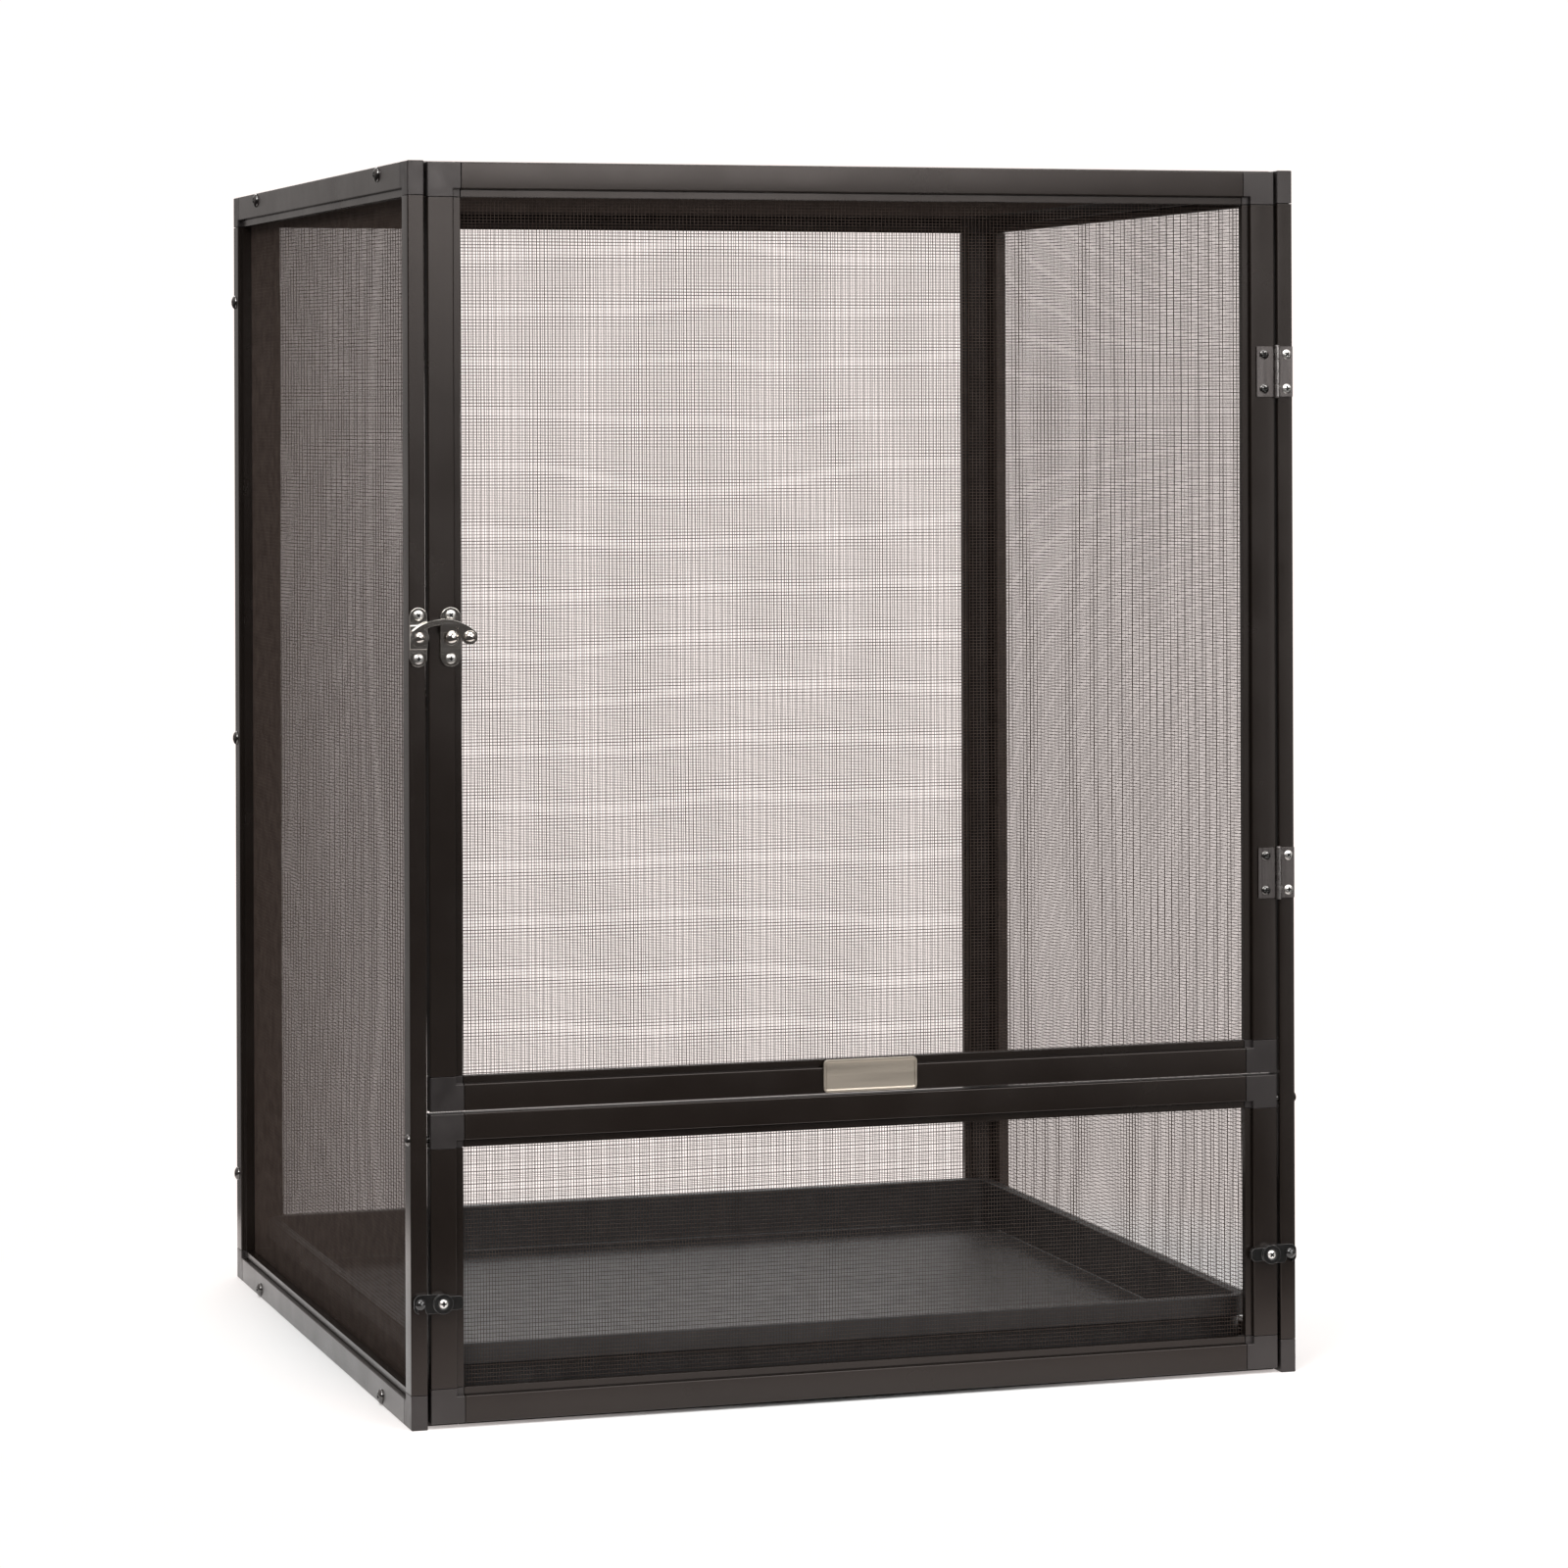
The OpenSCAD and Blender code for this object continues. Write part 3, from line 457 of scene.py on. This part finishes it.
def buildClothTree(s):
    tree, groupIn, groupOut = newTree(
        "wireCloth", ["Width", "Height", "Pitch across", "Pitch up", "Wire", "Crimp", "Seed"],
        {"Material": "NodeSocketMaterial"})
    width, height, across, up, wire, crimp, seed = (groupIn.outputs[i] for i in range(1, 8))
    deep = mathOf(tree, "MULTIPLY", wire, crimp)
    layers = []
    for run, length, pitch, layer in ((width, height, across, 0.5), (height, width, up, 1.5)):
        count = mathOf(tree, "FLOOR", mathOf(tree, "DIVIDE", run, pitch))
        step = mathOf(tree, "DIVIDE", run, count)
        start = mathOf(tree, "MULTIPLY", mathOf(tree, "SUBTRACT", step, run), 0.5)
        lift = mathOf(tree, "MULTIPLY", deep, layer)
        line = tree.nodes.new("GeometryNodeMeshLine")
        tree.links.new(count, line.inputs["Count"])
        rod = geoNode(tree, "GeometryNodeMeshCylinder", Vertices=s["sides"],
                      Radius=mathOf(tree, "MULTIPLY", wire, 0.5), Depth=length)
        rod.inputs["Side Segments"].default_value = s["segments"]
        if layer < 1:
            begin, offset = vectorOf(tree, start, 0.0, lift), vectorOf(tree, step)
            turn, swell = (math.pi / 2, 0, 0), vectorOf(tree, 1.0, crimp, 1.0)
        else:
            begin, offset = vectorOf(tree, 0.0, start, lift), vectorOf(tree, 0.0, step)
            turn, swell = (0, math.pi / 2, 0), vectorOf(tree, crimp, 1.0, 1.0)
        tree.links.new(begin, line.inputs["Start Location"])
        tree.links.new(offset, line.inputs["Offset"])
        placed = geoNode(tree, "GeometryNodeInstanceOnPoints", line.outputs[0])
        tree.links.new(rod.outputs["Mesh"], placed.inputs["Instance"])
        placed.inputs["Rotation"].default_value = turn
        tree.links.new(swell, placed.inputs["Scale"])
        layers.append(placed.outputs[0])
    join = tree.nodes.new("GeometryNodeJoinGeometry")
    for layer in layers:
        tree.links.new(layer, join.inputs[0])
    # both layers stray together, within the sheet
    loose = geoNode(tree, "GeometryNodeRealizeInstances", join.outputs[0])
    noise = tree.nodes.new("ShaderNodeTexNoise")
    noise.noise_dimensions = "4D"
    noise.inputs["Scale"].default_value = s["swayScale"]
    noise.inputs["Detail"].default_value = s["swayDetail"]
    tree.links.new(seed, noise.inputs["W"])
    parts = geoNode(tree, "ShaderNodeSeparateXYZ", noise.outputs["Color"])
    stray = [
        mathOf(tree, "MULTIPLY", mathOf(tree, "SUBTRACT", parts.outputs[i], 0.5), s["sway"])
        for i in range(2)]
    moved = geoNode(tree, "GeometryNodeSetPosition", loose.outputs[0], Offset=vectorOf(tree, *stray))
    finishTree(tree, moved.outputs[0], groupIn.outputs["Material"], groupOut)
    return tree


# outward axis and upward axis of each panel
panelFaces = {
    "left_panel": ((-1, 0, 0), (0, 0, 1)), "right_panel": ((1, 0, 0), (0, 0, 1)),
    "back_panel": ((0, 1, 0), (0, 0, 1)), "top_panel": ((0, 0, 1), (0, 1, 0)),
    "bottom_panel": ((0, 0, -1), (0, 1, 0)), "door": ((0, -1, 0), (0, 0, 1)),
    "flap": ((0, -1, 0), (0, 0, 1)),
}


def makeCloths(s):
    tree = buildClothTree(s)
    for number, panel in enumerate(panels):
        node = panel + "_screen"
        low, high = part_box(node)
        outward, upward = (Vector(v) for v in panelFaces[panel])
        inward = -outward
        sideways = upward.cross(inward)
        size = high - low
        centre = (low + high) / 2 + outward * abs(size.dot(outward)) / 2
        across, up = s["widePitch"], s["closePitch"]
        if panel in s["turned"]:
            across, up = up, across
        mesh = runTree(tree, panel + "Cloth", bpy.data.meshes.new(panel + "Cloth"), {
            "Width": abs(size.dot(sideways)), "Height": abs(size.dot(upward)), "Wire": s["wire"],
            "Crimp": s["crimp"], "Pitch across": across, "Pitch up": up, "Seed": number * s["seedStep"],
            "Material": finishOf["screen_wire"],
        })
        place = Matrix((sideways, upward, inward)).transposed().to_4x4()
        mesh.transform(Matrix.Translation(centre) @ place)
        shadeByAngle(mesh, s["sharp"])
        settle(addPiece(panel.replace("_panel", "") + "Cloth", mesh), node)
    print("wire cloth on", len(panels), "panels")


makeCloths(clothSettings)


# cross-head screws, one shape for each CAD node of screws
hingeScrew = {"head": 1.1, "shank": 2.2, "drive": 3.0, "groove": 0.85}
latchScrew = {"head": 1.1, "shank": 2.2, "drive": 2.7, "groove": 0.8}
screwSettings = {
    "assembly_screws": {
        "piece": "assemblyScrews", "head": 2.0, "shank": 3.4, "drive": 4.1, "groove": 1.1,
        "widen": 1.3,  # head width over that of the CAD head
    },
    "flap_pivot_screws": {
        "piece": "flapPivotScrews", "head": 2.0, "shank": 3.4, "drive": 3.3, "groove": 0.95,
    },
    "hinge_post_screws": {"piece": "hingePostScrews", **hingeScrew},
    "hinge_door_screws": {"piece": "hingeDoorScrews", **hingeScrew},
    "latch_base_screws": {"piece": "latchBaseScrews", **latchScrew},
    "latch_catch_screws": {"piece": "latchCatchScrews", **latchScrew},
    "clip_screws": {"piece": "clipScrews", "head": 1.5, "shank": 2.8, "drive": 3.0, "groove": 0.85},
}
screwShape = {
    "turns": 28, "rings": 9, "driveDepth": 0.95, "driveTaper": 0.55, "tip": 1.2, "shade": 0.1,
    "cutLift": 0.3, "ease": 0.06, "easeAngle": 40, "sharp": 38, "spinStep": 0.83,
}


def spinOutline(outline, steps):
    work = bmesh.new()
    rings = []
    for radius, height in outline:
        if radius == 0:
            rings.append([work.verts.new((0, 0, height))])
        else:
            rings.append([
                work.verts.new((radius * math.cos(2 * math.pi * i / steps),
                                radius * math.sin(2 * math.pi * i / steps), height))
                for i in range(steps)])
    for upper, lower in zip(rings, rings[1:]):
        for i in range(steps):
            j = (i + 1) % steps
            turns = ((upper, i), (lower, i), (lower, j), (upper, j))
            corners = [ring[k % len(ring)] for ring, k in turns]
            work.faces.new(list(dict.fromkeys(corners)))
    bmesh.ops.recalc_face_normals(work, faces=work.faces)
    return work


def crossCutter(width, groove, top, depth, taper):
    work = bmesh.new()
    for a, b in ((width / 2, groove / 2), (groove / 2, width / 2)):
        upper = [work.verts.new((x, y, top)) for x, y in ((-a, -b), (a, -b), (a, b), (-a, b))]
        c, d = a * (taper if a > b else 1), b * (taper if b > a else 1)
        lower = [work.verts.new((x, y, top - depth)) for x, y in ((-c, -d), (c, -d), (c, d), (-c, d))]
        work.faces.new(upper)
        work.faces.new(lower[::-1])
        for i in range(4):
            j = (i + 1) % 4
            work.faces.new((upper[j], upper[i], lower[i], lower[j]))
    bmesh.ops.recalc_face_normals(work, faces=work.faces)
    return work


def makeScrewMaster(name, headD, length, s, shape):
    head, shank = s["head"] * mm, s["shank"] * mm
    radius = headD / 2
    angles = [math.pi / 2 * i / shape["rings"] for i in range(shape["rings"] + 1)]
    outline = [(radius * math.sin(a), head * math.cos(a)) for a in angles]
    tip = shape["tip"] * mm
    outline += [(shank / 2, 0), (shank / 2, head - length + tip), (0, head - length)]
    screw = toObject(spinOutline(outline, shape["turns"]), name)
    depth = shape["driveDepth"] * head
    lift = shape["cutLift"] * mm
    cross = crossCutter(s["drive"] * mm, s["groove"] * mm, head + lift, depth + lift, shape["driveTaper"])
    cutter = toObject(cross, name + "Cutter")
    cut = screw.modifiers.new("drive", "BOOLEAN")
    cut.operation, cut.object, cut.solver = "DIFFERENCE", cutter, "EXACT"
    cut.use_self = True
    bevel = screw.modifiers.new("ease", "BEVEL")
    bevel.width, bevel.segments, bevel.limit_method = shape["ease"] * mm, 1, "ANGLE"
    bevel.angle_limit = math.radians(shape["easeAngle"])
    bevel.use_clamp_overlap = False
    mesh = bakedMesh(screw, name)
    bpy.data.objects.remove(cutter)
    screw.modifiers.clear()
    screw.data = mesh
    shadeByAngle(mesh, shape["sharp"])
    # faces well below the dome are the drive's walls and floor, which get a painted shade
    recess = mesh.attributes.new("recess", "BOOLEAN", "FACE")
    for face, flag in zip(mesh.polygons, recess.data):
        x, y, z = face.center
        dome = head * math.sqrt(max(0.0, 1 - (x * x + y * y) / radius ** 2))
        flag.value = 0 < z < dome - shape["shade"] * head
    return screw


def buildScrewTree():
    kinds = {"Screw": "NodeSocketObject", "Material": "NodeSocketMaterial", "Recess": "NodeSocketMaterial"}
    tree, groupIn, groupOut = newTree("screwsOnPoints", ["Spin step"], kinds)
    aim = tree.nodes.new("GeometryNodeInputNamedAttribute")
    aim.data_type = "FLOAT_VECTOR"
    aim.inputs["Name"].default_value = "aim"
    index = tree.nodes.new("GeometryNodeInputIndex")
    spin = mathOf(tree, "MULTIPLY", index.outputs[0], groupIn.outputs["Spin step"])
    turned = tree.nodes.new("FunctionNodeAlignRotationToVector")
    turned.axis = "Z"
    tree.links.new(aim.outputs[0], turned.inputs["Vector"])
    own = geoNode(tree, "FunctionNodeAxisAngleToRotation", Axis=(0, 0, 1), Angle=spin)
    both = tree.nodes.new("FunctionNodeRotateRotation")
    both.rotation_space = "LOCAL"
    tree.links.new(turned.outputs[0], both.inputs[0])
    tree.links.new(own.outputs[0], both.inputs[1])
    shape = tree.nodes.new("GeometryNodeObjectInfo")
    tree.links.new(groupIn.outputs["Screw"], shape.inputs["Object"])
    placed = geoNode(tree, "GeometryNodeInstanceOnPoints", groupIn.outputs[0])
    tree.links.new(shape.outputs["Geometry"], placed.inputs["Instance"])
    tree.links.new(both.outputs[0], placed.inputs["Rotation"])
    inside = tree.nodes.new("GeometryNodeInputNamedAttribute")
    inside.data_type = "BOOLEAN"
    inside.inputs["Name"].default_value = "recess"
    whole = finishTree(tree, placed.outputs[0], groupIn.outputs["Material"], groupOut)
    # the recess faces get the near-black finish, a painted shade inside the drive
    dark = geoNode(tree, "GeometryNodeSetMaterial", whole, Selection=inside.outputs[0])
    tree.links.new(groupIn.outputs["Recess"], dark.inputs["Material"])
    tree.links.new(dark.outputs[0], groupOut.inputs[0])
    return tree


def makeScrews(settings, shape):
    tree = buildScrewTree()
    total = 0
    for node, s in settings.items():
        points, aims = [], []
        for low, high in islandBoxes(node):
            size = high - low
            axis = max(range(3), key=lambda i: size[i])
            middle = (low + high) / 2
            outwards = -1 if axis == 1 or middle.x < 0 else 1
            aim = Vector([outwards if i == axis else 0 for i in range(3)])
            tip = middle + aim * size[axis] / 2
            points.append(tip - aim * s["head"] * mm)
            aims.append(aim)
        # the screws of one node are all alike, so the last one gives their size
        headD, length = size[(axis + 1) % 3] * s.get("widen", 1), size[axis]
        screw = makeScrewMaster(s["piece"] + "Shape", headD, length, s, shape)
        seeds = bpy.data.meshes.new(s["piece"] + "Points")
        seeds.from_pydata([tuple(p) for p in points], [], [])
        attribute = seeds.attributes.new("aim", "FLOAT_VECTOR", "POINT")
        attribute.data.foreach_set("vector", [c for a in aims for c in a])
        mesh = runTree(tree, s["piece"], seeds, {
            "Spin step": shape["spinStep"], "Screw": screw, "Material": finishOf[slotOf[node]],
            "Recess": finishOf["screw_recess_shade"]})
        bpy.data.objects.remove(screw)
        settle(addPiece(s["piece"], mesh), node)
        total += len(points)
    print("screws placed:", total)


makeScrews(screwSettings, screwShape)


# these pieces keep their CAD shape and get eased edges that catch the light
easedSettings = {
    "latch_base": {"piece": "latchBasePlate", "ease": 0.3, "segments": 3},
    "latch_catch": {"piece": "latchCatchPlate", "ease": 0.3, "segments": 3},
    "latch_arm": {"piece": "latchSwingArm", "ease": 0.35, "segments": 3},
    "latch_stud": {"piece": "latchStudHead", "ease": 0.15, "segments": 2},
    "latch_knob": {"piece": "latchKnobBall", "ease": 0.15, "segments": 2},
    "latch_pivot_rivet": {"piece": "latchRivet", "ease": 0.15, "segments": 2},
    "hinge_post_leaves": {"piece": "hingePostLeaves", "ease": 0.15, "segments": 2, "barrel": True},
    "hinge_door_leaves": {"piece": "hingeDoorLeaves", "ease": 0.15, "segments": 2, "barrel": True},
    "hinge_pins": {"piece": "hingePinEnds", "ease": 0.1, "segments": 2, "barrel": True},
    "left_clip": {"piece": "leftTurnClip", "ease": 0.8, "segments": 4, "edge": "clip_edge"},
    "right_clip": {"piece": "rightTurnClip", "ease": 0.8, "segments": 4, "edge": "clip_edge"},
    "clip_keepers": {"piece": "clipKeeperStuds", "ease": 0.2, "segments": 2},
    "tray": {"piece": "slidingTray", "ease": 0.7, "segments": 3},
}
panelEase = {"corners": ("CornerKeys", 0.18), "rails": ("Rails", 0.14), "stiles": ("Stiles", 0.14)}
for panelName in panels:
    for part, (label, width) in panelEase.items():
        easedSettings[panelName + "_" + part] = {
            "piece": panelName.replace("_panel", "") + label, "ease": width, "segments": 2}
easedShape = {"flat": 0.4, "sharp": 35, "barrel": 1.6}


# the hinges' knuckles get a paler nickel than their leaves, a painted highlight
def paintBarrelHighlight(mesh, reach):
    low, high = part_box("hinge_pins")
    axis = (low + high) / 2
    mesh.materials.append(finishOf["hinge_barrel_highlight"])
    for face in mesh.polygons:
        away = math.hypot(face.center.x - axis.x, face.center.y - axis.y)
        face.material_index = 1 if away < reach else 0


def makeEased(settings, shape):
    flat = math.radians(shape["flat"])
    for node, s in settings.items():
        mesh = mergedCopy(node)
        work = bmesh.new()
        work.from_mesh(mesh)
        bmesh.ops.dissolve_limit(work, angle_limit=flat, verts=work.verts, edges=work.edges)
        work.to_mesh(mesh)
        work.free()
        shadeByAngle(mesh, shape["sharp"])
        piece = addPiece(s["piece"], mesh, finishOf[slotOf[node]])
        if s.get("barrel"):
            paintBarrelHighlight(mesh, shape["barrel"] * mm)
        easeEdges(piece, s["ease"] * mm, s["segments"], shape["sharp"], finishOf.get(s.get("edge")))
        settle(piece, node)
    print("eased pieces:", len(settings))


makeEased(easedSettings, easedShape)


# bare plate on the door's bottom rail
plateSettings = {
    "size": (47.6, 15.8, 1.3),
    "corner": 2.2,
    "middle": 2.4,
    "up": 0.6,
    "border": 1.1,
    "step": 0.35,
    "cornerSteps": 6,
    "leastCorner": 0.3,
    "ease": 0.25,
    "segments": 2,
    "sharp": 30,
}


def roundedLoop(width, height, radius, steps):
    loop = []
    for cx, cz, begin in ((1, 1, 0), (-1, 1, 90), (-1, -1, 180), (1, -1, 270)):
        for i in range(steps + 1):
            a = math.radians(begin + 90 * i / steps)
            loop.append((cx * (width / 2 - radius) + radius * math.cos(a),
                         cz * (height / 2 - radius) + radius * math.sin(a)))
    return loop


def makePlate(s):
    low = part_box("door_rails")[0]
    width, height, thick = (c * mm for c in s["size"])
    border, step = s["border"] * mm, s["step"] * mm
    middle, centre = s["middle"] * mm, low.z + s["up"] * mm + height / 2
    rows = [(0, 0), (0, thick), (border, thick), (border + step, thick - step)]
    work = bmesh.new()
    rings = []
    for inset, lift in rows:
        corner = max(s["corner"] * mm - inset, s["leastCorner"] * mm)
        loop = roundedLoop(width - 2 * inset, height - 2 * inset, corner, s["cornerSteps"])
        rings.append([work.verts.new((middle + x, low.y - lift, centre + z)) for x, z in loop])
    for outer, inner in zip(rings, rings[1:]):
        for i in range(len(outer)):
            j = (i + 1) % len(outer)
            work.faces.new((outer[i], outer[j], inner[j], inner[i]))
    work.faces.new(rings[0])
    work.faces.new(rings[-1])
    bmesh.ops.recalc_face_normals(work, faces=work.faces)
    mesh = bpy.data.meshes.new("barePlate")
    work.to_mesh(mesh)
    work.free()
    shadeByAngle(mesh, s["sharp"])
    piece = addPiece("barePlate", mesh, finishOf["bare_plate"])
    easeEdges(piece, s["ease"] * mm, s["segments"], s["sharp"])
    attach(piece, "door")
    print("bare plate set")


makePlate(plateSettings)


# floor, world and lamps
stageSettings = {
    "floor": 0.5, "floorSides": 96, "floorTone": (0.95, 0.95, 0.945), "floorRough": 0.9, "floorShine": 0.1,
    "fadeFrom": 0.22, "fadeTo": 0.47,
    "fill": 0.55, "white": 1.0, "dim": 0.06, "dimFrom": -0.9, "dimTo": 5.0, "lift": 3.5,
    "roomTone": (1, 0.94, 0.91),
    "backdropTone": (1.14, 1.036, 1.0),  # past white, as the photo's backdrop is
}
lampSettings = {
    "keyLamp": {"place": (-1.7, -2.1, 2.4), "size": (1.2, 1.2), "power": 60.0},
    "fillLamp": {"place": (1.6, -2.1, 1.9), "size": (1.6, 1.2), "power": 30.0},
    "backLamp": {"place": (0.4, 2.6, 2.0), "size": (2.2, 1.4), "power": 30.0},
    "paneLamp": {"place": (0.36, -2.75, 1.08), "size": (1.3, 1.0), "power": 15.5},
    "stripLamp": {"place": (1.65, -2.75, 0.5), "size": (0.6, 1.6), "power": 4.0},
    "topLamp": {"place": (-0.1, -0.7, 2.6), "size": (2.0, 1.6), "power": 28.0},
}
lampTarget = Vector((0, 0, 0.28))


def seenDirectly(tree, spot):
    path = addNode(tree, "ShaderNodeLightPath", spot)
    total = path.outputs["Is Camera Ray"]
    for name in ("Is Glossy Ray", "Is Transmission Ray"):
        total = mathOf(tree, "MAXIMUM", total, path.outputs[name])
    return total


def makeWorld(s):
    world = bpy.data.worlds.new("paleRoom")
    scene.world = world
    world.use_nodes = True
    tree = world.node_tree
    background = tree.nodes["Background"]
    path = addNode(tree, "ShaderNodeLightPath", (-900, 300))
    tone = mixColours(tree, (-600, 300), (1, 1, 1), s["roomTone"], path.outputs["Is Glossy Ray"])
    seen = mixColours(tree, (-300, 300), tone, s["backdropTone"], path.outputs["Is Camera Ray"])
    tree.links.new(seen, background.inputs["Color"])
    # the backdrop is white, and the room in front of it is dim where gloss reflects it
    coords = addNode(tree, "ShaderNodeTexCoord", (-1300, -300))
    axes = addNode(tree, "ShaderNodeSeparateXYZ", (-1100, -300))
    tree.links.new(coords.outputs["Generated"], axes.inputs[0])
    height = mathOf(tree, "MULTIPLY_ADD", axes.outputs["Z"], s["lift"], axes.outputs["Y"])
    room = rangeOf(tree, height, (-700, -300), s["dim"], s["white"], s["dimFrom"], s["dimTo"])
    backdrop = mathOf(tree, "MAXIMUM", room, path.outputs["Is Camera Ray"])
    strength = addNode(tree, "ShaderNodeMapRange", (-200, 0))
    strength.inputs["To Min"].default_value = s["fill"]
    tree.links.new(backdrop, strength.inputs["To Max"])
    tree.links.new(seenDirectly(tree, (-600, 0)), strength.inputs["Value"])
    tree.links.new(strength.outputs[0], background.inputs["Strength"])


def makeFloor(s):
    work = bmesh.new()
    bmesh.ops.create_circle(work, cap_ends=True, segments=s["floorSides"], radius=s["floor"])
    floor = toObject(work, "floor")
    finish, tree, shader = newFinish("paleFloor")
    shader.inputs["Base Color"].default_value = (*s["floorTone"], 1)
    shader.inputs["Roughness"].default_value = s["floorRough"]
    shader.inputs["Specular IOR Level"].default_value = s["floorShine"]
    coords = addNode(tree, "ShaderNodeTexCoord", (-900, -200))
    away = tree.nodes.new("ShaderNodeVectorMath")
    away.operation = "LENGTH"
    tree.links.new(coords.outputs["Object"], away.inputs[0])
    fade = rangeOf(tree, away.outputs["Value"], (-500, -200), 0.0, 1.0, s["fadeFrom"], s["fadeTo"])
    share = mathOf(tree, "MULTIPLY", fade, seenDirectly(tree, (-900, -500)))
    white = addNode(tree, "ShaderNodeEmission", (-100, -300), Strength=s["white"])
    white.inputs["Color"].default_value = (*s["backdropTone"], 1)
    mix = addNode(tree, "ShaderNodeMixShader", (300, 0))
    tree.links.new(share, mix.inputs[0])
    tree.links.new(shader.outputs[0], mix.inputs[1])
    tree.links.new(white.outputs[0], mix.inputs[2])
    tree.links.new(mix.outputs[0], tree.nodes["Material Output"].inputs["Surface"])
    floor.data.materials.append(finish)


def makeLamps(settings):
    for name, s in settings.items():
        data = bpy.data.lights.new(name, "AREA")
        data.shape = "RECTANGLE"
        data.size, data.size_y = s["size"]
        data.energy = s["power"]
        lamp = bpy.data.objects.new(name, data)
        scene.collection.objects.link(lamp)
        lamp.location = s["place"]
        lamp.rotation_euler = (lampTarget - Vector(s["place"])).to_track_quat("-Z", "Y").to_euler()


makeWorld(stageSettings)
makeFloor(stageSettings)
makeLamps(lampSettings)
print("stage and lamps set")
